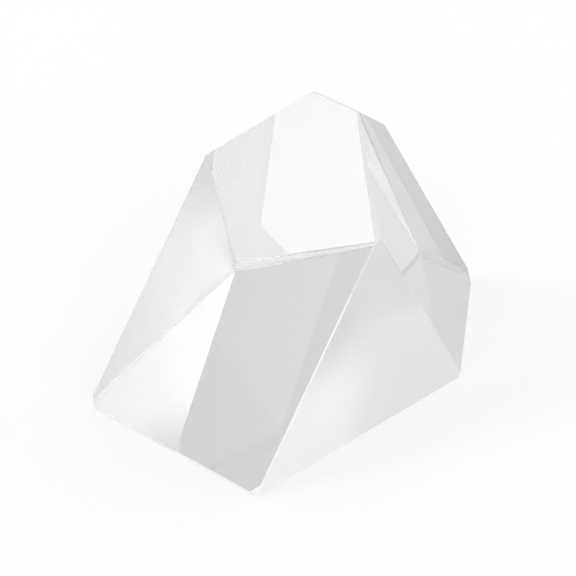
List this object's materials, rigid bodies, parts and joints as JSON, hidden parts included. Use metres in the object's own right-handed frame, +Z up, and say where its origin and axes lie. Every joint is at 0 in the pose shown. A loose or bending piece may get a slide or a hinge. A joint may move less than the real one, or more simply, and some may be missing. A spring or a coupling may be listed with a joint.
{
  "type": "roof prism",
  "caption": "Solid clear glass roof prism with a sharp front edge between two polished faces, ground side walls and a right-angled roof, used to erect and fold an image.",
  "frame": {"origin": "point on the exit face where the optical axis leaves the glass, in the middle of the width", "axes": "+X across the prism along its front edge, +Y from the front edge towards the roof ridge, +Z up from the exit face on which the prism rests"},
  "size_m": [0.024, 0.0393, 0.0271],
  "materials": {
    "optical_glass": "clear and polished on the entrance face, the exit face and the roof, fine-ground on the side walls, the end cut and the bevels"
  },
  "bodies": {
    "root": {"prism_block": "optical_glass"}
  },
  "joints": []
}
